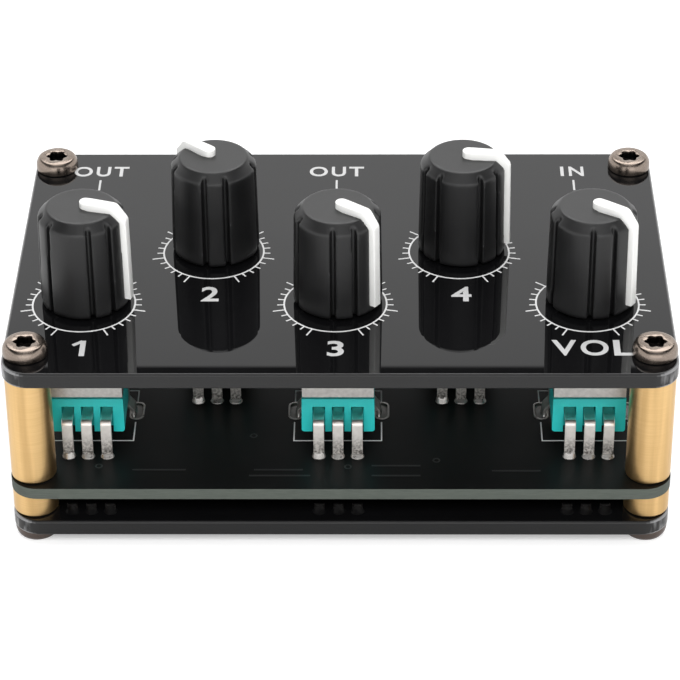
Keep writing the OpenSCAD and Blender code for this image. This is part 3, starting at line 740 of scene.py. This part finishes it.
def addRim(middle):
    def isHere(spot):
        return abs(spot.x - middle.x) < rim["reach"]

    bpy.ops.mesh.primitive_circle_add(vertices=rim["segments"], radius=rim["inner"][0] * mm, location=middle)
    for way in (-1, 1):
        pickVerts(lambda spot: isHere(spot) and way * (spot.y - middle.y) > rim["offMiddle"])
        bpy.ops.transform.translate(value=(0, way * rimStretch, 0))
    pickVerts(isHere)
    widenRing(middle, rimGrow, rim["height"])


startPiece()
for side in (-1, 1):
    addRim(Vector((side * solder["slotX"], solder["lugY"], 0)) * mm)
tidyMesh()
roundEdges(rim["edge"], 2)
spreadCopies(atControls("_lug_rims"), trims["rimSolder"], rim["smooth"])

# Solder on the jacks' legs, under the board
startPiece()
for across, along in jackLegs["places"]:
    addFlow(across, along, underBoard(jackLegs["under"]))
tidyMesh()
# painted shade: the darker copy under the board
spreadCopies(atJacks("_solder"), trims["dullSolder"], solder["smooth"])
print("soldered")


# Jacks: a plated ferrule at each mouth and a lid on each housing
ferrule = {"inner": 1.84 * mm, "outer": 2.62 * mm, "depth": 0.3 * mm, "edge": 0.08 * mm, "height": 3.2 * mm,
           "segments": 64, "smooth": 35}
lid = {"inset": 0.55 * mm, "thick": 0.22 * mm, "edge": 0.06 * mm, "ribWidth": 0.5 * mm, "ribShare": 0.8,
       "ribGap": 1.5 * mm, "ribHeight": 0.14 * mm, "nose": 3.0 * mm, "smooth": 35}
jackLow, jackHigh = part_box("jack_1_housing")
jackSize = jackHigh - jackLow
startPiece()
addRing(Vector((0, 0, 0)), ferrule["inner"], ferrule["outer"], ferrule["depth"], ferrule["segments"])
bpy.ops.mesh.select_all(action="SELECT")
bpy.ops.transform.rotate(value=math.radians(90), orient_axis="X", center_override=(0, 0, 0))
rearmost = max(vert.co.y for vert in bmesh.from_edit_mesh(bpy.context.object.data).verts)
bpy.ops.transform.translate(value=(0, jackSize.y - rearmost, ferrule["height"]))
tidyMesh()
roundEdges(ferrule["edge"], 3)
spreadCopies(atJacks("_ferrule"), trims["ferruleMetal"], ferrule["smooth"])

bodyLength = jackSize.y - lid["nose"]
lidSize = (jackSize.x - 2 * lid["inset"], bodyLength - 2 * lid["inset"], lid["thick"])
ribSize = (lid["ribWidth"], lidSize[1] * lid["ribShare"], lid["ribHeight"])
startPiece()
addBar(Vector((0, bodyLength / 2, jackSize.z)), lidSize)
for way in (-1, 1):
    addBar(Vector((way * lid["ribGap"], bodyLength / 2, jackSize.z + lid["thick"])), ribSize)
tidyMesh()
roundEdges(lid["edge"], 2)
spreadCopies(atJacks("_lid"), finishes["jack_plastic"], lid["smooth"])
print("jacks fitted")


# Tinned end caps and sloping fillets of the chip resistors
chip = {"reach": 0.86 * mm, "capLength": 0.54 * mm, "proud": 0.012 * mm, "fillet": 0.42 * mm,
        "filletShare": 0.8, "slopeShare": 0.75, "edge": 0.05 * mm, "edgeAngle": 30, "smooth": 45}
chipLow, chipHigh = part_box("summing_resistors")
chipMiddle = (chipLow.y + chipHigh.y) / 2
chipDepth = chipHigh.y - chipLow.y + 2 * chip["proud"]
chipHeight = chipHigh.z - chipLow.z + chip["proud"]
startPiece()
for way in (-1, 1):
    addBar(Vector((way * chip["reach"], 0, 0)), (chip["capLength"], chipDepth, chipHeight))
    toe = way * (chip["reach"] + (chip["capLength"] + chip["fillet"]) / 2)
    addBar(Vector((toe, 0, 0)), (chip["fillet"], chipDepth, chipHeight * chip["filletShare"]))
    pickVerts(lambda spot: way * spot.x > way * toe and spot.z > chipHeight / 2)
    bpy.ops.transform.translate(value=(-way * chip["fillet"] * chip["slopeShare"], 0, 0))
tidyMesh()
roundEdges(chip["edge"], 2, chip["edgeAngle"])
chipPlaces = {control + "_chip_caps": Vector((axisOf[control].x, chipMiddle, chipLow.z))
              for control in controls[:4]}
spreadCopies(chipPlaces, trims["brightSolder"], chip["smooth"])
print("chips capped")


# Pointers: longer towards the shaft and a little prouder than the plain solids
pointer = {"extend": 0.6 * mm, "rise": 0.25 * mm, "innerEnd": 1.34 * mm, "topFrom": 0.2 * mm,
           "outerShare": 0.97, "edge": 0.13 * mm, "edgeAngle": 35, "flatAngle": 0.3, "smooth": 35}


def makePointer(control):
    name = control + "_inlay"
    node = control + "_pointer"
    axis = axisOf[control]
    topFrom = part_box(control + "_knob")[1].z + pointer["topFrom"]
    piece = bpy.data.objects.new(name, nodes[node].data.copy())
    bpy.context.scene.collection.objects.link(piece)
    selectPieces([piece])
    spots = [(vert.co - axis).xy for vert in piece.data.vertices]
    outerFrom = pointer["outerShare"] * max(spot.length for spot in spots)
    outward = sum((spot for spot in spots if spot.length > outerFrom), Vector((0, 0))).normalized()
    openEdit()
    tidyMesh()
    bpy.ops.mesh.dissolve_limited(angle_limit=math.radians(pointer["flatAngle"]))
    pickVerts(lambda spot: (spot - axis).xy.dot(outward) < pointer["innerEnd"])
    bpy.ops.transform.translate(value=(-outward.x * pointer["extend"], -outward.y * pointer["extend"], 0))
    pickVerts(lambda spot: spot.z > topFrom)
    bpy.ops.transform.translate(value=(0, 0, pointer["rise"]))
    roundEdges(pointer["edge"], 3, pointer["edgeAngle"])
    smoothFaces(pointer["smooth"])
    piece = handOver(name, control + "_control", finishes["pointer_plastic"])
    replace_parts(piece, node)


for control in controls:
    makePointer(control)
print("pointers inlaid")


# Screws: domed heads with a six-lobe drive. Dome points are (radius, height over the plate), in mm
screw = {"shank": 1.45, "tipRadius": 1.25, "tipLength": 0.25, "foot": 2.7,
         "dome": [(headRadius, 0.14), (headRadius, 0.5), (2.86, 0.8), (2.8, 1.08), (2.69, 1.34), (2.54, 1.56),
                  (2.36, 1.7), (2.18, 1.75)],
         "segments": 72, "lobes": 6, "lobeOuter": 1.44, "lobeInner": 1.12, "lobeNear": 0.01,
         "driveDepth": 1.15, "driveOver": 0.5, "edge": 0.05, "edgeAngle": 60, "smooth": 38}


def addTurned(profile):
    rings = [(radius * mm, radius * mm, level * mm) for radius, level in profile]
    addRise(Vector((0, 0, 0)), rings, screw["segments"])


def waveAt(spot):
    return math.cos(screw["lobes"] * math.atan2(spot.y, spot.x))


def makeDrive():
    headTop = screw["dome"][-1][1]
    outer = screw["lobeOuter"]
    middle = (outer + screw["lobeInner"]) / 2
    swing = (outer - screw["lobeInner"]) / 2
    perLobe = screw["segments"] // screw["lobes"]
    startPiece()
    addTurned([(outer, headTop - screw["driveDepth"]), (outer, headTop + screw["driveOver"])])
    for step in range(perLobe // 2 + 1):  # vertices that stand at the same place on a lobe move together
        wave = math.cos(math.tau * step / perLobe)
        pickVerts(lambda spot: abs(waveAt(spot) - wave) < screw["lobeNear"])
        reach = (middle + swing * wave) / outer
        bpy.ops.transform.resize(value=(reach, reach, 1), center_override=(0, 0, 0))
    tidyMesh()
    closeEdit()
    return bpy.context.object


def makeScrew(shankLength):
    startPiece()
    addTurned([(screw["tipRadius"], -shankLength), (screw["shank"], screw["tipLength"] - shankLength),
               (screw["shank"], 0.0), (screw["foot"], 0.0)] + screw["dome"])
    tidyMesh()
    closeEdit()
    body = bpy.context.object
    cutter = makeDrive()
    selectPieces([body])
    drive = body.modifiers.new("drive", "BOOLEAN")
    drive.operation = "DIFFERENCE"
    drive.object = cutter
    drive.solver = "EXACT"
    bpy.ops.object.modifier_apply(modifier=drive.name)
    bpy.data.objects.remove(cutter)
    openEdit()
    tidyMesh()
    roundEdges(screw["edge"] * mm, 2, screw["edgeAngle"])
    smoothFaces(screw["smooth"])
    return body


def placeScrews(name, node, level, shankEnd, upsideDown):
    pattern = makeScrew(abs(level - shankEnd) / mm)
    if upsideDown:
        openEdit()
        bpy.ops.mesh.select_all(action="SELECT")
        bpy.ops.transform.rotate(value=math.pi, orient_axis="X", center_override=(0, 0, 0))
        closeEdit()
    pieces = []
    for across in (-1, 1):
        for along in (-1, 1):
            piece = bpy.data.objects.new(name, pattern.data.copy())
            piece.data.transform(Matrix.Translation((across * screwPlace.x, along * screwPlace.y, level)))
            bpy.context.scene.collection.objects.link(piece)
            pieces.append(piece)
    bpy.data.objects.remove(pattern)
    selectPieces(pieces)
    bpy.ops.object.join()
    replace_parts(handOver(name, "chassis", finishes["screw_steel"]), node)


placeScrews("top_domed_screws", "top_screws", plateHigh.z, topScrewLow.z, False)
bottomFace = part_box("bottom_plate")[0].z
placeScrews("bottom_domed_screws", "bottom_screws", bottomFace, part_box("bottom_screws")[1].z, True)
print("screws driven")


# Camera at the photograph's viewing angle
shot = {"place": Vector((4.0385, -333.4758, 235.244)) * mm, "pitch": 33.528, "yaw": -0.738, "roll": -0.411,
        "lens": 157.41, "sensor": 36, "nearest": 0.01, "farthest": 50}


def makeCamera():
    pitch, yaw, roll = (math.radians(shot[key]) for key in ("pitch", "yaw", "roll"))
    ahead = Vector((math.sin(yaw) * math.cos(pitch), math.cos(yaw) * math.cos(pitch), -math.sin(pitch)))
    right = Vector((math.cos(yaw), -math.sin(yaw), 0))
    up = right.cross(ahead)
    turnedRight = right * math.cos(roll) + up * math.sin(roll)
    turnedUp = up * math.cos(roll) - right * math.sin(roll)
    lens = bpy.data.cameras.new("photoCamera")
    lens.lens = shot["lens"]
    lens.sensor_width = shot["sensor"]
    lens.clip_start = shot["nearest"]
    lens.clip_end = shot["farthest"]
    camera = bpy.data.objects.new("photoCamera", lens)
    bpy.context.scene.collection.objects.link(camera)
    rows = zip(turnedRight, turnedUp, -ahead, shot["place"])
    camera.matrix_world = Matrix((*rows, (0, 0, 0, 1)))
    bpy.context.scene.camera = camera


makeCamera()

# Studio: white floor, white walls under a dark ceiling for reflections, large soft lamps
studio = {"floorSize": 12.0, "floorAlbedo": 0.74, "floorLift": 0.4, "farLift": 0.7, "farSpan": (0.25, 0.9),
          "ambient": 0.45, "wallSlope": 0.6756, "wallSoftness": 0.0006, "ceiling": 0.03, "lowerWall": 1.2,
          "wallFade": 0.06, "lampsAim": (0, 0, 0.02)}
lamps = {  # the first one lights without being mirrored
    "frontLamp": {"place": (0.1, -1.1, 1.25), "size": (1.6, 0.6), "power": 9.0, "mirrored": False},
    "frontGlow": {"place": (0.1, -1.1, 1.25), "size": (1.6, 0.6), "power": 16.0, "mirrored": True},
    "lowLamp": {"place": (0.0, -1.5, 0.35), "size": (1.6, 0.5), "power": 2.0, "mirrored": True},
    "topLamp": {"place": (0.0, 0.1, 1.3), "size": (1.0, 0.8), "power": 3.5, "mirrored": True},
    "backLamp": {"place": (0.0, 0.85, 1.2), "size": (1.4, 0.7), "power": 12.0, "mirrored": True},
}


def makeFloor():  # glows a little to the camera, and far off in reflections
    clearSelection()
    bpy.ops.mesh.primitive_plane_add(size=studio["floorSize"], location=(0, 0, 0))
    floor = bpy.context.object
    floor.name = "studioFloor"
    paper = (studio["floorAlbedo"],) * 3 + (1.0,)
    finish, tree, shader = newFinish("floorPaper", {"Base Color": paper, "Roughness": 1.0,
                                                    "Specular IOR Level": 0.0, "Emission Color": white})
    path = addNode(tree, "ShaderNodeLightPath").outputs
    seen = addMath(tree, "MULTIPLY", path["Is Camera Ray"], studio["floorLift"])
    mirrored = addMath(tree, "MAXIMUM", path["Is Glossy Ray"], path["Is Transmission Ray"])
    distance = addVector(tree, "LENGTH", "Value", addCoords(tree))
    farGlow = addRange(tree, distance, (0.0, studio["farLift"]), studio["farSpan"])
    glow = addMath(tree, "ADD", seen, addMath(tree, "MULTIPLY", mirrored, farGlow))
    feed(tree, shader.inputs["Emission Strength"], glow)
    floor.data.materials.append(finish)


def makeWorld():  # even light, but a white room under a dark ceiling to the camera and in reflections
    world = bpy.data.worlds.new("studioWorld")
    bpy.context.scene.world = world
    world.use_nodes = True
    tree = world.node_tree
    ambient = tree.nodes["Background"]
    feed(tree, ambient.inputs["Strength"], studio["ambient"])
    feed(tree, ambient.inputs["Color"], white)
    look = addSplit(tree, addCoords(tree, "Generated"))
    sides = [addMath(tree, "ABSOLUTE", look[axisName]) for axisName in ("X", "Y")]
    aside = addMath(tree, "MAXIMUM", *sides)
    drop = addMath(tree, "SUBTRACT", addMath(tree, "MULTIPLY", aside, studio["wallSlope"]), look["Z"])
    wall = addRange(tree, drop, (studio["ceiling"], 1.0), (-studio["wallSoftness"], studio["wallSoftness"]))
    fade = addRange(tree, drop, (1.0, studio["lowerWall"]), (0.0, studio["wallFade"]))
    path = addNode(tree, "ShaderNodeLightPath").outputs
    seen = addMath(tree, "MAXIMUM", path["Is Camera Ray"], path["Is Transmission Ray"])
    room = addNode(tree, "ShaderNodeBackground")
    feed(tree, room.inputs["Color"], white)
    feed(tree, room.inputs["Strength"], addMath(tree, "MAXIMUM", seen, addMath(tree, "MULTIPLY", wall, fade)))
    choose = addNode(tree, "ShaderNodeMixShader")
    feed(tree, choose.inputs["Fac"], addMath(tree, "MAXIMUM", seen, path["Is Glossy Ray"]))
    feed(tree, choose.inputs[1], ambient.outputs["Background"])
    feed(tree, choose.inputs[2], room.outputs["Background"])
    feed(tree, tree.nodes["World Output"].inputs["Surface"], choose.outputs["Shader"])


def makeLamp(name, plan):
    data = bpy.data.lights.new(name, "AREA")
    data.shape = "RECTANGLE"
    data.size, data.size_y = plan["size"]
    data.energy = plan["power"]
    lamp = bpy.data.objects.new(name, data)
    bpy.context.scene.collection.objects.link(lamp)
    lamp.visible_glossy = plan["mirrored"]
    lamp.location = plan["place"]
    ahead = Vector(studio["lampsAim"]) - Vector(plan["place"])
    lamp.rotation_euler = ahead.to_track_quat("-Z", "Y").to_euler()


makeFloor()
makeWorld()
for name, plan in lamps.items():
    makeLamp(name, plan)
bpy.context.scene.view_settings.view_transform = "Standard"
print("studio lit")
